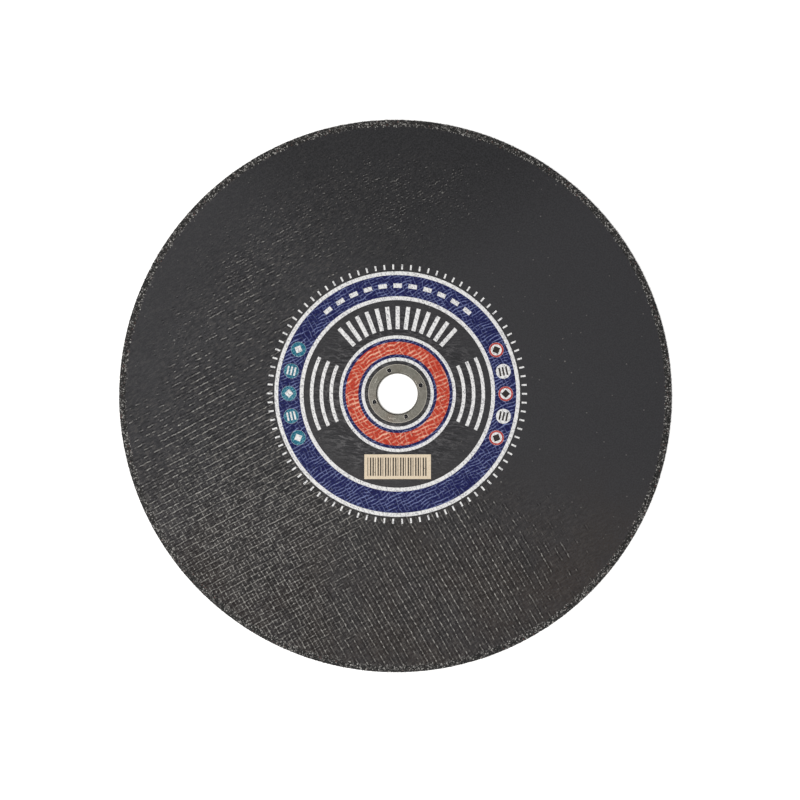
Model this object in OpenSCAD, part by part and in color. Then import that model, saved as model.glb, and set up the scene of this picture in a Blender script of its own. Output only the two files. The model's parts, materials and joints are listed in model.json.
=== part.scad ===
// Reinforced cut-off wheel: a flat moulded abrasive disc with a pressed steel arbor ring and a
// printed label. It lies on its back face.
// Origin: centre of the bore on the back face. +Z points out of the printed face. Millimetres.

/* [Wheel] */
// Outside diameter of the wheel
wheel_d = 350; // [300:1:400]
// Thickness over the thread crests of both faces
wheel_t = 3; // [2.4:0.1:4.5]
// Width of the bare grit band round the rim
grit_band_w = 4; // [1:0.5:8]
// Depth of the grit band below the thread crests
grit_band_drop = 0.3; // [0.1:0.05:0.6]
// Bevel on both corners of the rim
rim_bevel = 0.4; // [0.1:0.1:0.7]

/* [Glass mesh] */
// Distance from one thread to the next
thread_pitch = 3.9; // [3:0.1:8]
// Direction of the threads, from +X towards +Y
thread_angle = 28; // [0:1:180]
// Width of a thread ridge at its foot
ridge_foot_w = 1.3; // [0.8:0.1:2]
// Width of a thread ridge at its crest
ridge_crest_w = 0.5; // [0.2:0.1:0.7]
// Height of a thread ridge
ridge_h = 0.15; // [0.05:0.01:0.3]
// Gap at both ends of a thread, before the hub land and before the grit band
thread_end_gap = 0.6; // [0.2:0.1:2]

/* [Arbor ring] */
// Diameter of the hole for the arbor
arbor_d = 25.4; // [20:0.1:32]
// Width of the flange, from the hole to its outer edge
flange_w = 5.9; // [5:0.1:12]
// Depth to which the flange is pressed into the disc
flange_sink = 0.25; // [0.1:0.05:0.5]
// Thickness of the ring's sheet steel
sheet_t = 0.5; // [0.3:0.05:0.8]
// Inside radius of the bend from flange to collar
bend_r = 0.6; // [0.3:0.1:1]
// Distance from the end of the collar to the back face
collar_end_gap = 0.3; // [0.1:0.1:0.8]
// Gap between the ring and its seat in the disc
seat_clearance = 0.05; // [0.02:0.01:0.15]
// Number of punched tangs round the flange
tang_count = 4; // [3:1:8]
// Angle of the first tang from +X
tang_start = 20; // [0:1:90]
// Distance from the bend to the middle of a tang
tang_offset = 1.7; // [1.4:0.1:2]
// Diameter of a punched pit at the flange
pit_d = 1.8; // [1.2:0.1:2]
// Diameter of a punched pit at its floor
pit_floor_d = 0.8; // [0.4:0.1:1]
// Depth of a punched pit
pit_depth = 1.2; // [0.8:0.1:1.5]
// Wall left round a punched pit
tang_wall = 0.25; // [0.15:0.05:0.35]

/* [Label rings] */
// Thickness of one coat of ink
ink_t = 0.06; // [0.03:0.01:0.1]
// Bare width between the flange and the hub ring
hub_gap = 2.3; // [1:0.1:6]
// Width of each white line of the hub ring
hub_white_w = 2; // [1:0.1:4]
// Width of each blue line of the hub ring
hub_blue_w = 2; // [1:0.1:4]
// Width of the orange ring
hub_orange_w = 8; // [4:0.1:12]
// Bare width between the hub ring and the band
field_w = 22.5; // [18:0.5:30]
// Width of each white line beside the band
band_line_w = 2.4; // [1:0.1:4]
// Width of the blue band
band_w = 13.5; // [10:0.5:18]
// Bare width between the band and the tick marks
tick_gap = 1.2; // [0.5:0.1:4]
// Length of a tick mark
tick_l = 3.2; // [1:0.1:6]
// Width of a tick mark
tick_w = 1.1; // [0.5:0.1:2]
// Number of tick marks
tick_count = 90; // [24:6:120]
// Bare width between the tick marks and the edge of the label's land
land_margin = 1.8; // [0.5:0.1:5]

/* [Label figures] */
// Clear width between a figure and the rings beside it
figure_margin = 4; // [2:0.5:6]
// Number of bars in the upper fan
fan_count = 13; // [5:2:17]
// Width of a bar of the fan
fan_bar_w = 2.6; // [1:0.1:3]
// Angle from one bar to the next
fan_step = 7; // [6:0.5:8]
// Number of arcs on each side
arc_count = 3; // [2:1:4]
// Width of an arc
arc_w = 2.2; // [1:0.1:3]
// Angle that an arc spans
arc_span = 50; // [20:1:60]
// Number of dashes in the upper band
dash_count = 11; // [5:2:13]
// Length of a dash along the band
dash_l = 5.4; // [2:0.1:6]
// Width of a dash
dash_w = 2.8; // [1:0.1:5]
// Angle from one dash to the next
dash_step = 8; // [7:0.5:9]
// Number of spots on each side of the band
spot_count = 5; // [1:2:5]
// Angle from one spot to the next
spot_step = 12; // [11:0.5:14]
// Blue left on each side of a spot
spot_margin = 2; // [1:0.1:3]
// Width of the red rim of a spot
spot_rim_w = 1.1; // [0.5:0.1:2]
// Clear width between the rim of a spot and its figure
spot_figure_gap = 0.8; // [0.4:0.1:1.2]
// Width of a bar in a spot's figure
spot_bar_w = 1.1; // [0.6:0.1:1.4]
// Gap between two inks that lie side by side
ink_gap = 0.1; // [0.05:0.05:0.3]
// Width of the cream patch
patch_w = 42; // [24:1:50]
// Clear width between the cream patch and the rings
patch_margin = 1.5; // [0.5:0.1:3]
// Number of dark bars on the patch
code_count = 24; // [8:2:30]
// Bare border of the patch round the bars
code_border = 2; // [1:0.1:4]

/* [Hidden] */
$fn = 180;

wheel_r = wheel_d / 2;
mesh_r = wheel_r - grit_band_w;
arbor_r = arbor_d / 2;
flange_r = arbor_r + flange_w;
ring_top = wheel_t - flange_sink + sheet_t;
bend_outer_r = bend_r + sheet_t;
tang_r = arbor_r + bend_outer_r + tang_offset;

// Radii of the label, from the flange outwards
hub_in = flange_r + hub_gap;
hub_blue_in = hub_in + hub_white_w;
hub_orange_in = hub_blue_in + hub_blue_w;
hub_orange_out = hub_orange_in + hub_orange_w;
hub_blue_out = hub_orange_out + hub_blue_w;
hub_out = hub_blue_out + hub_white_w;
field_out = hub_out + field_w;
band_in = field_out + band_line_w;
band_out = band_in + band_w;
line_out = band_out + band_line_w;
tick_in = line_out + tick_gap;
front_land_r = tick_in + tick_l + land_margin;
back_land_r = hub_in;

// Levels of the three coats of ink
coat_1 = wheel_t;
coat_2 = coat_1 + ink_t;
coat_3 = coat_2 + ink_t;

band_mid_r = (band_in + band_out) / 2;
spot_d = band_w - 2 * spot_margin;
spot_figure_w = spot_d - 2 * (ink_gap + spot_rim_w + spot_figure_gap);
figure_in = hub_out + figure_margin;
figure_out = field_out - figure_margin;
arc_pitch = (figure_out - figure_in - arc_w) / (arc_count - 1);
patch_top = hub_out + patch_margin;
patch_bottom = sqrt(pow(field_out - patch_margin, 2) - pow(patch_w / 2, 2));
patch_h = patch_bottom - patch_top;
code_pitch = (patch_w - 2 * code_border) / code_count;

// Room for one solid to run into or past another before they are joined or cut
overlap = 0.1;
cut_past = 1;

disc_grey = [0.23, 0.23, 0.24];
ring_grey = [0.50, 0.48, 0.43];
ink_white = [0.90, 0.90, 0.88];
ink_blue = [0.20, 0.24, 0.42];
ink_orange = [0.77, 0.36, 0.24];
ink_teal = [0.18, 0.52, 0.60];
ink_red = [0.72, 0.22, 0.20];
ink_cream = [0.87, 0.80, 0.70];
ink_black = [0.14, 0.13, 0.13];

function half_chord(r, offset) = sqrt(max(0, r * r - offset * offset));

// Start and end of each ridge along one thread, which the hub land may break in two
function thread_runs(offset, land_r) =
    let (
        outer = half_chord(mesh_r - thread_end_gap, abs(offset) + ridge_foot_w / 2),
        inner = half_chord(land_r + thread_end_gap, max(0, abs(offset) - ridge_foot_w / 2))
    )
    inner > 0 ? [[-outer, -inner], [inner, outer]] : [[-outer, outer]];

// One ridge along +X, with its foot on z = 0
module ridge(length) {
    rotate([90, 0, 90])
        linear_extrude(length)
            polygon([
                [-ridge_foot_w / 2, -overlap],
                [ridge_foot_w / 2, -overlap],
                [ridge_foot_w / 2, 0],
                [ridge_crest_w / 2, ridge_h],
                [-ridge_crest_w / 2, ridge_h],
                [-ridge_foot_w / 2, 0]
            ]);
}

// The threads of one face, from its hub land out to the grit band
module thread_ridges(land_r) {
    reach = floor((mesh_r - thread_end_gap - ridge_foot_w) / thread_pitch);
    rotate(thread_angle)
        for (i = [-reach : reach])
            for (run = thread_runs(i * thread_pitch, land_r))
                translate([run[0], i * thread_pitch, 0])
                    ridge(run[1] - run[0]);
}

// Section of the disc: hub land, printed land, woven skin and rim, all from the axis outwards
module disc_section() {
    square([back_land_r, wheel_t]);
    translate([0, ridge_h])
        square([front_land_r, wheel_t - ridge_h]);
    translate([0, ridge_h])
        square([mesh_r, wheel_t - 2 * ridge_h]);
    polygon([
        [0, grit_band_drop],
        [wheel_r - rim_bevel, grit_band_drop],
        [wheel_r, grit_band_drop + rim_bevel],
        [wheel_r, wheel_t - grit_band_drop - rim_bevel],
        [wheel_r - rim_bevel, wheel_t - grit_band_drop],
        [0, wheel_t - grit_band_drop]
    ]);
}

// Room for the ring: the bore, a bevel under the bend, and the shallow seat of the flange
module ring_seat() {
    bore_r = arbor_r + sheet_t + seat_clearance;
    seat_z = wheel_t - flange_sink;
    rotate_extrude()
        polygon([
            [0, -cut_past],
            [bore_r, -cut_past],
            [bore_r, seat_z - bend_r],
            [bore_r + bend_r, seat_z],
            [flange_r + seat_clearance, seat_z],
            [flange_r + seat_clearance, wheel_t + cut_past],
            [0, wheel_t + cut_past]
        ]);
}

// Places of the punched tangs, at the level of the flange's top
module at_tangs() {
    for (i = [0 : tang_count - 1])
        rotate(tang_start + i * 360 / tang_count)
            translate([tang_r, 0, ring_top])
                children();
}

// A blunt cone that points down from the flange's top
module punch(depth, top_d, floor_d) {
    translate([0, 0, -depth])
        cylinder(h = depth, d1 = floor_d, d2 = top_d);
}

// The outside of a tang, from the middle of the sheet down, grown by a clearance
module tang(clearance) {
    grow = 2 * (tang_wall + clearance);
    root = sheet_t / 2;
    translate([0, 0, -root])
        punch(pit_depth + tang_wall + clearance - root, pit_d + grow, pit_floor_d + grow);
}

module abrasive_disc() {
    color(disc_grey)
        difference() {
            union() {
                rotate_extrude()
                    disc_section();
                translate([0, 0, wheel_t - ridge_h])
                    thread_ridges(front_land_r);
                translate([0, 0, ridge_h])
                    mirror([0, 0, 1])
                        thread_ridges(back_land_r);
            }
            ring_seat();
            at_tangs()
                tang(seat_clearance);
        }
}

// Section of the ring: collar, bend and flange
module ring_section() {
    translate([arbor_r, collar_end_gap])
        square([sheet_t, ring_top - bend_outer_r - collar_end_gap]);
    translate([arbor_r + bend_outer_r, ring_top - sheet_t])
        square([flange_w - bend_outer_r, sheet_t]);
    translate([arbor_r + bend_outer_r, ring_top - bend_outer_r])
        intersection() {
            difference() {
                circle(bend_outer_r);
                circle(bend_r);
            }
            translate([-bend_outer_r, 0])
                square(bend_outer_r);
        }
}

module arbor_ring() {
    color(ring_grey)
        difference() {
            union() {
                rotate_extrude()
                    ring_section();
                at_tangs()
                    tang(0);
            }
            at_tangs()
                punch(pit_depth, pit_d, pit_floor_d);
        }
}

// A flat ring of ink at one coat's level
module ink_ring(inner_r, outer_r, level) {
    translate([0, 0, level])
        difference() {
            cylinder(h = ink_t, r = outer_r);
            translate([0, 0, -cut_past])
                cylinder(h = ink_t + 2 * cut_past, r = inner_r);
        }
}

// A flat bar of ink along the radius, from inner_r outwards
module ink_bar(inner_r, length, width, level) {
    translate([inner_r, -width / 2, level])
        cube([length, width, ink_t]);
}

// Turns copies of a figure to places spread evenly about one angle
module spread(count, step, middle) {
    for (i = [0 : 1 : count - 1])
        rotate(middle + (i - (count - 1) / 2) * step)
            children();
}

// Outlines of the spots' figures on one side: a diamond and three bars by turns
module spot_figures(middle) {
    spread((spot_count + 1) / 2, 2 * spot_step, middle)
        translate([band_mid_r, 0])
            rotate(45)
                square(spot_figure_w / sqrt(2), center = true);
    spread((spot_count - 1) / 2, 2 * spot_step, middle)
        for (i = [-1 : 1])
            translate([band_mid_r + i * (spot_figure_w - spot_bar_w) / 2, 0])
                square([spot_bar_w, spot_figure_w], center = true);
}

module tick_marks() {
    for (i = [0 : tick_count - 1])
        rotate(i * 360 / tick_count)
            ink_bar(tick_in, tick_l, tick_w, coat_1);
}

// Concentric arcs in the bare field on one side
module side_arcs(middle) {
    for (i = [0 : arc_count - 1])
        rotate(middle - arc_span / 2)
            rotate_extrude(angle = arc_span)
                translate([figure_in + i * arc_pitch, coat_1])
                    square([arc_w, ink_t]);
}

module print_white() {
    color(ink_white) {
        ink_ring(hub_in, hub_out, coat_1);
        ink_ring(field_out, line_out, coat_1);
        tick_marks();
        spread(fan_count, fan_step, 90)
            ink_bar(figure_in, figure_out - figure_in, fan_bar_w, coat_1);
        side_arcs(0);
        side_arcs(180);
    }
}

// Holes in the blue band where the white below it shows or another ink lies
module band_windows() {
    for (middle = [0, 180])
        spread(spot_count, spot_step, middle)
            translate([band_mid_r, 0, coat_2 - cut_past])
                cylinder(h = ink_t + 2 * cut_past, d = spot_d);
    spread(dash_count, dash_step, 90)
        translate([band_mid_r - dash_w / 2, -dash_l / 2, coat_2 - cut_past])
            cube([dash_w, dash_l, ink_t + 2 * cut_past]);
}

module print_blue() {
    color(ink_blue) {
        ink_ring(hub_blue_in, hub_blue_out, coat_2);
        difference() {
            ink_ring(band_in, band_out, coat_2);
            band_windows();
        }
    }
}

module print_orange() {
    color(ink_orange)
        ink_ring(hub_orange_in, hub_orange_out, coat_3);
}

// The white below shows through the figures of the teal spots
module print_teal() {
    color(ink_teal)
        difference() {
            spread(spot_count, spot_step, 180)
                translate([band_mid_r, 0, coat_2])
                    cylinder(h = ink_t, d = spot_d - 2 * ink_gap);
            translate([0, 0, coat_2 - cut_past])
                linear_extrude(ink_t + 2 * cut_past)
                    spot_figures(180);
        }
}

// Every other spot of the right side has a red rim
module print_red() {
    rim_r = spot_d / 2 - ink_gap;
    color(ink_red)
        spread((spot_count + 1) / 2, 2 * spot_step, 0)
            translate([band_mid_r, 0, 0])
                ink_ring(rim_r - spot_rim_w, rim_r, coat_2);
}

module print_cream() {
    color(ink_cream)
        translate([-patch_w / 2, -patch_bottom, coat_1])
            cube([patch_w, patch_h, ink_t]);
}

// Dark bars of three widths in turn across the patch
module code_bars() {
    for (i = [0 : code_count - 1])
        translate([code_border - patch_w / 2 + i * code_pitch, code_border - patch_bottom, coat_2])
            cube([code_pitch * (1 + (i * i) % 3) / 4, patch_h - 2 * code_border, ink_t]);
}

module print_black() {
    color(ink_black) {
        code_bars();
        translate([0, 0, coat_2])
            linear_extrude(ink_t)
                spot_figures(0);
    }
}

abrasive_disc();
arbor_ring();
print_white();
print_blue();
print_orange();
print_teal();
print_red();
print_cream();
print_black();
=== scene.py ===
import json
import math
import bpy
import bmesh
import numpy as np
from mathutils import Matrix, Vector


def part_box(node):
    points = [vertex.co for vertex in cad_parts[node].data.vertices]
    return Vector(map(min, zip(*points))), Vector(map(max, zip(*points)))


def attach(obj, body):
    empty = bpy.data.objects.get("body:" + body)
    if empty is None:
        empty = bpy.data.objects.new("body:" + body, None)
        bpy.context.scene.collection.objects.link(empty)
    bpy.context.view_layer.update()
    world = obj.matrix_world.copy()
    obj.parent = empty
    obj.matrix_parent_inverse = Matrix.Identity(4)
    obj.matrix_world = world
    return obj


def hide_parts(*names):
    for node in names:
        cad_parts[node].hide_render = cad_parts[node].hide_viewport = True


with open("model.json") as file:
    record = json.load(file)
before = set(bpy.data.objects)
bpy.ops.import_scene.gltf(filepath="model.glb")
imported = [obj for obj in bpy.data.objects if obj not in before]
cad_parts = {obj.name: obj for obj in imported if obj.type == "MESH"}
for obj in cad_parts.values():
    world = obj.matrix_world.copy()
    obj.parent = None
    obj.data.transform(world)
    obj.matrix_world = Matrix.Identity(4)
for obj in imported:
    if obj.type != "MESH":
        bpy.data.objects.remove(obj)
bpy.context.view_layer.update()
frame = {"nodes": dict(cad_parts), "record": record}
nodes = frame["nodes"]
mm = 0.001    # lengths are in millimetres where no note says otherwise
fullTurn = 2 * math.pi
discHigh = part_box("abrasive_disc")[1]
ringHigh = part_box("arbor_ring")[1]
wheelRadius = discHigh.x / mm
faceTop = discHigh.z / mm
midPlane = faceTop / 2
flangeRadius = ringHigh.x / mm
ringTop = ringHigh.z / mm
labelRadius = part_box("print_white")[1].x / mm
arborRadius = next(m for m in frame["record"]["mounts"] if m["name"] == "arbor_bore")["dims"]["r_mm"]
print("frame loaded: wheel", round(wheelRadius * 2, 1), "mm across,", round(faceTop, 2), "mm thick")


def tone(red, green, blue):
    # eight bit screen colour to a linear one
    def linear(level):
        share = level / 255
        return share / 12.92 if share <= 0.04045 else ((share + 0.055) / 1.055) ** 2.4
    return (linear(red), linear(green), linear(blue), 1.0)


def meshPiece(name, points, faces, material, smooth=True):
    # points in millimetres, faces turned outwards
    mesh = bpy.data.meshes.new(name)
    mesh.from_pydata((np.asarray(points) * mm).tolist(), [], faces)
    mesh.validate()
    work = bmesh.new()
    work.from_mesh(mesh)
    bmesh.ops.recalc_face_normals(work, faces=work.faces)
    work.to_mesh(mesh)
    work.free()
    mesh.polygons.foreach_set("use_smooth", [smooth] * len(mesh.polygons))
    mesh.materials.append(material)
    piece = bpy.data.objects.new(name, mesh)
    bpy.context.scene.collection.objects.link(piece)
    return piece


def settle(piece, slot, *replaced):
    # the wheel is one body
    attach(piece, "root")
    if replaced:
        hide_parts(*replaced)
    print(piece.name, sum(len(p.vertices) - 2 for p in piece.data.polygons), "triangles")


# shader helpers

def feed(tree, entry, value):
    # an input takes another node's output or a fixed value
    if isinstance(value, bpy.types.NodeSocket):
        tree.links.new(value, entry)
    else:
        entry.default_value = value


def newNode(tree, kind, values=None, **settings):
    node = tree.nodes.new(kind)
    for key, value in settings.items():
        setattr(node, key, value)
    for key, value in (values or {}).items():
        feed(tree, node.inputs[key], value)
    return node


def newGroup(name, inputs, outputs):
    # an input with no value is a coordinate, the others are numbers
    group = bpy.data.node_groups.new(name, "ShaderNodeTree")
    for label, value in inputs.items():
        kind = "NodeSocketVector" if value is None else "NodeSocketFloat"
        socket = group.interface.new_socket(label, in_out="INPUT", socket_type=kind)
        if value is not None:
            socket.default_value = value
    for label in outputs:
        group.interface.new_socket(label, in_out="OUTPUT", socket_type="NodeSocketFloat")
    return group, group.nodes.new("NodeGroupInput").outputs, group.nodes.new("NodeGroupOutput").inputs


def placeGroup(tree, group, values):
    return newNode(tree, "ShaderNodeGroup", values, node_tree=group).outputs


def newMaterial(name):
    material = bpy.data.materials.new(name)
    material.use_nodes = True
    tree = material.node_tree
    tree.nodes.clear()
    shader = newNode(tree, "ShaderNodeBsdfPrincipled")
    newNode(tree, "ShaderNodeOutputMaterial", {"Surface": shader.outputs["BSDF"]})
    return material, tree, shader.inputs


def stretched(tree, vector, factors):
    values = {0: vector, 1: factors}
    return newNode(tree, "ShaderNodeVectorMath", values, operation="MULTIPLY").outputs["Vector"]


def millimetres(tree):
    # object coordinates, which are the wheel's own, in millimetres
    place = newNode(tree, "ShaderNodeTexCoord").outputs["Object"]
    return stretched(tree, place, (1 / mm, 1 / mm, 1 / mm))


def calc(tree, operation, value, *others):
    # takes in the other values one after the other
    for other in others or (0.0,):
        node = newNode(tree, "ShaderNodeMath", {0: value, 1: other}, operation=operation)
        value = node.outputs["Value"]
    return value


def remap(tree, value, low, high, toLow=0.0, toHigh=1.0, kind="SMOOTHSTEP"):
    values = {"Value": value, "From Min": low, "From Max": high, "To Min": toLow, "To Max": toHigh}
    return newNode(tree, "ShaderNodeMapRange", values, interpolation_type=kind).outputs["Result"]


def mixColours(tree, factor, first, second):
    mix = newNode(tree, "ShaderNodeMix", {"Factor": factor, 6: first, 7: second}, data_type="RGBA")
    return mix.outputs[2]


def layered(tree, colour, *coats):
    # lays colours over the first one, each through its own mask
    for mask, coat in coats:
        colour = mixColours(tree, mask, colour, coat)
    return colour


def turnFlat(tree, vector, angle):
    # turns a coordinate so that its X runs at an angle
    values = {"Vector": vector, "Angle": calc(tree, "MULTIPLY", angle, -1.0)}
    turned = newNode(tree, "ShaderNodeVectorRotate", values, rotation_type="Z_AXIS").outputs["Vector"]
    return turned, newNode(tree, "ShaderNodeSeparateXYZ", {0: turned}).outputs


def noiseAt(tree, vector, scale, detail, roughness=0.5):
    values = {"Vector": vector, "Scale": scale, "Detail": detail, "Roughness": roughness}
    return newNode(tree, "ShaderNodeTexNoise", values).outputs["Fac"]


def flatReach(tree, place):
    # distance from the wheel's axis
    flat = stretched(tree, place, (1.0, 1.0, 0.0))
    return newNode(tree, "ShaderNodeVectorMath", {0: flat}, operation="LENGTH").outputs["Value"]


def addBump(tree, shader, relief, strength):
    # relief in millimetres
    bump = newNode(tree, "ShaderNodeBump", {"Strength": strength, "Distance": mm, "Height": relief})
    tree.links.new(bump.outputs["Normal"], shader["Normal"])


# shared surface effects

def makeThreadDashes():
    # one set of threads: crests that show through the resin in dashes with a painted highlight, and painted
    # shade in the hollows beside them
    group, given, made = newGroup(
        "threadDashes",
        {"Across": 0.0, "Along": 0.0, "Pitch": 4.0, "Shift": 0.0, "Width": 0.6, "Length": 5.0, "Bare": 0.5,
         "Side": 0.95, "Sway": 0.8},
        ["Crest", "Hollow", "Line", "Near"])
    moved = calc(group, "SUBTRACT", given["Across"], given["Shift"])
    number = calc(group, "ROUND", calc(group, "DIVIDE", moved, given["Pitch"]))
    row = calc(group, "MULTIPLY", number, 7.3)    # each thread has its own stretch of the noise
    spot = newNode(group, "ShaderNodeCombineXYZ", {
        "X": calc(group, "DIVIDE", given["Along"], given["Length"]), "Y": row, "Z": given["Shift"]})
    level = noiseAt(group, spot.outputs["Vector"], 1.0, 2.5, 0.6)
    bend = newNode(group, "ShaderNodeCombineXYZ", {"X": given["Along"], "Y": row, "Z": given["Shift"]})
    sway = calc(group, "SUBTRACT", noiseAt(group, bend.outputs["Vector"], 0.45, 1.0), 0.5)
    away = calc(group, "SUBTRACT", moved, calc(group, "MULTIPLY", number, given["Pitch"]))
    away = calc(group, "ADD", away, calc(group, "MULTIPLY", sway, given["Sway"]))
    limit = remap(group, given["Bare"], 0.0, 1.0, 0.76, 0.22, "LINEAR")
    shown = remap(group, level, limit, calc(group, "ADD", limit, 0.13))
    below = remap(group, level, calc(group, "SUBTRACT", limit, 0.06), calc(group, "ADD", limit, 0.12))
    aside = calc(group, "ABSOLUTE", away)
    line = remap(group, aside, given["Width"], 0.0)
    groove = calc(group, "ABSOLUTE", calc(group, "SUBTRACT", aside, given["Side"]))
    groove = remap(group, groove, given["Width"], 0.0)
    near = remap(group, aside, calc(group, "MULTIPLY", given["Pitch"], 0.38), given["Width"])
    shown = calc(group, "MULTIPLY", shown, remap(group, given["Bare"], 0.0, 1.0, 0.5, 1.0, "LINEAR"))
    group.links.new(calc(group, "MULTIPLY", line, shown), made["Crest"])
    group.links.new(calc(group, "MULTIPLY", groove, below), made["Hollow"])
    group.links.new(line, made["Line"])
    group.links.new(near, made["Near"])
    return group


def makeThreadLines():
    # lines along one set of threads, which wander and break here and there
    group, given, made = newGroup(
        "threadLines",
        {"Coordinate": None, "Turn": 0.0, "Pitch": 4.0, "Width": 1.0, "Breaks": 0.5, "Wander": 1.2},
        ["Mask"])
    turned, parts = turnFlat(group, given["Coordinate"], given["Turn"])
    sway = calc(group, "SUBTRACT", noiseAt(group, turned, 0.09, 2.0), 0.5)
    across = calc(group, "ADD", parts["Y"], calc(group, "MULTIPLY", sway, given["Wander"]))
    phase = calc(group, "PINGPONG", calc(group, "DIVIDE", across, given["Pitch"]), 0.5)
    away = calc(group, "MULTIPLY", phase, given["Pitch"])
    line = remap(group, calc(group, "DIVIDE", away, given["Width"]), 0.5, 0.0)
    dashes = noiseAt(group, stretched(group, turned, (0.16, 0.42, 0.16)), 1.0, 2.0, 0.6)
    hidden = calc(group, "MULTIPLY", remap(group, dashes, 0.60, 0.36), given["Breaks"])
    group.links.new(calc(group, "MULTIPLY", line, calc(group, "SUBTRACT", 1.0, hidden)), made["Mask"])
    return group


def makeFlecks():
    # small round specks in a share of the cells of a random pattern
    group, given, made = newGroup(
        "flecks", {"Coordinate": None, "Spacing": 1.0, "Share": 0.1, "Reach": 0.3}, ["Mask"])
    scale = calc(group, "DIVIDE", 1.0, given["Spacing"])
    values = {"Vector": given["Coordinate"], "Scale": scale}
    cells = newNode(group, "ShaderNodeTexVoronoi", values, feature="F1").outputs
    pick = newNode(group, "ShaderNodeSeparateColor", {0: cells["Color"]}).outputs["Red"]
    chosen = calc(group, "LESS_THAN", pick, given["Share"])
    spot = remap(group, calc(group, "DIVIDE", cells["Distance"], given["Reach"]), 1.0, 0.4)
    group.links.new(calc(group, "MULTIPLY", chosen, spot), made["Mask"])
    return group


def makeBlotches():
    # soft uneven patches
    group, given, made = newGroup(
        "blotches", {"Coordinate": None, "Size": 30.0, "Fine": 3.0, "Contrast": 1.0}, ["Value"])
    scale = calc(group, "DIVIDE", 1.0, given["Size"])
    noise = noiseAt(group, given["Coordinate"], scale, given["Fine"], 0.6)
    spread = calc(group, "MULTIPLY", calc(group, "SUBTRACT", noise, 0.5), given["Contrast"])
    lifted = newNode(group, "ShaderNodeMath", {0: spread, 1: 0.5}, operation="ADD", use_clamp=True)
    group.links.new(lifted.outputs["Value"], made["Value"])
    return group


def makeCrinkles():
    # short wavy creases that run one way
    group, given, made = newGroup(
        "crinkles",
        {"Coordinate": None, "Turn": 0.0, "Length": 8.0, "Width": 2.5, "Bend": 8.0, "Edge": 0.13},
        ["Mask"])
    turned, parts = turnFlat(group, given["Coordinate"], given["Turn"])
    sway = calc(group, "SUBTRACT", noiseAt(group, turned, 0.11, 1.0), 0.5)
    across = calc(group, "ADD", parts["Y"], calc(group, "MULTIPLY", sway, given["Bend"]))
    joined = newNode(group, "ShaderNodeCombineXYZ", {
        "X": calc(group, "DIVIDE", parts["X"], given["Length"]),
        "Y": calc(group, "DIVIDE", across, given["Width"])}).outputs["Vector"]
    fold = calc(group, "ABSOLUTE", calc(group, "SUBTRACT", noiseAt(group, joined, 1.0, 1.5), 0.5))
    group.links.new(remap(group, fold, given["Edge"], 0.0), made["Mask"])
    return group


threadDashes = makeThreadDashes()
threadLines = makeThreadLines()
flecks = makeFlecks()
blotches = makeBlotches()
crinkles = makeCrinkles()
print("surface effects made")


def blotchesAt(tree, place, size, fine, contrast):
    values = {"Coordinate": place, "Size": size, "Fine": fine, "Contrast": contrast}
    return placeGroup(tree, blotches, values)["Value"]


def crinklesAt(tree, place, turn, length, width, bend, edge):
    values = {"Coordinate": place, "Turn": turn, "Length": length, "Width": width, "Bend": bend}
    return placeGroup(tree, crinkles, {**values, "Edge": edge})["Mask"]


def linesAt(tree, place, turn, pitch, width, breaks, wander):
    values = {"Coordinate": place, "Turn": turn, "Pitch": pitch, "Width": width, "Breaks": breaks}
    return placeGroup(tree, threadLines, {**values, "Wander": wander})["Mask"]


def flecksAt(tree, place, spacing, share, reach):
    values = {"Coordinate": place, "Spacing": spacing, "Share": share, "Reach": reach}
    return placeGroup(tree, flecks, values)["Mask"]


def dashesAt(tree, across, along, values):
    return placeGroup(tree, threadDashes, {"Across": across, "Along": along, **values})


# the glass mesh: single threads one way, a main and a thinner thread by turns the other way
glassMesh = {
    "warpPitch": 3.90, "warpAngle": math.radians(28.0), "warpHeight": 0.115, "warpRun": 12, "warpDip": 0.7,
    "weftPitch": 4.78, "weftAngle": math.radians(119.7), "weftHeight": 0.100, "weftRun": 7, "weftDip": 0.3,
    "halfWidth": 0.42, "thinHeight": 0.026, "thinHalfWidth": 0.36, "spacingError": 0.12, "wobble": 0.14,
    "wobbleSize": 17.0, "riseMiddle": 0.70, "riseSpread": 0.30, "riseLeast": 0.10, "coveredRise": 0.25,
}

# black resin over the mesh, where each fade is the pair of places between which a look comes up
blackResin = {
    # the pale crest colour is a painted highlight and the near black hollow colour painted shade, fold is a
    # painted highlight on the hub's creases, and deep is a darker tone that also paints shade at the top
    # and between creases
    "dark": tone(49, 49, 52), "brown": tone(56, 50, 47), "deep": tone(33, 33, 35),
    "light": tone(62, 62, 65), "lump": tone(92, 89, 86), "fold": tone(90, 89, 91),
    "speck": tone(112, 110, 108), "crest": tone(178, 176, 171), "hollow": tone(10, 10, 11),
    "rough": (0.50, 0.62), "hollowRough": 0.30, "creaseRough": 0.30,
    "grainBump": 0.034, "lumpBump": 0.06, "speckBump": 0.05, "creaseBump": 0.20,
    "gloss": 0.30, "glossRough": 0.22, "specular": 0.14, "weftShare": 0.75,
    "upperSlope": 0.7, "strayHeading": (-0.57, 0.82, 0.0), "lumpSlant": 0.12, "lumpDraw": (0.42, 1.0, 1.0),
    "upperFade": (20.0, 120.0), "brownFade": (-20.0, -130.0), "dotFade": (-15.0, -95.0),
    "strayFade": (25.0, 125.0), "strayRimFade": (172.0, 132.0), "hubFade": (64.0, 40.0),
}


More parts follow.
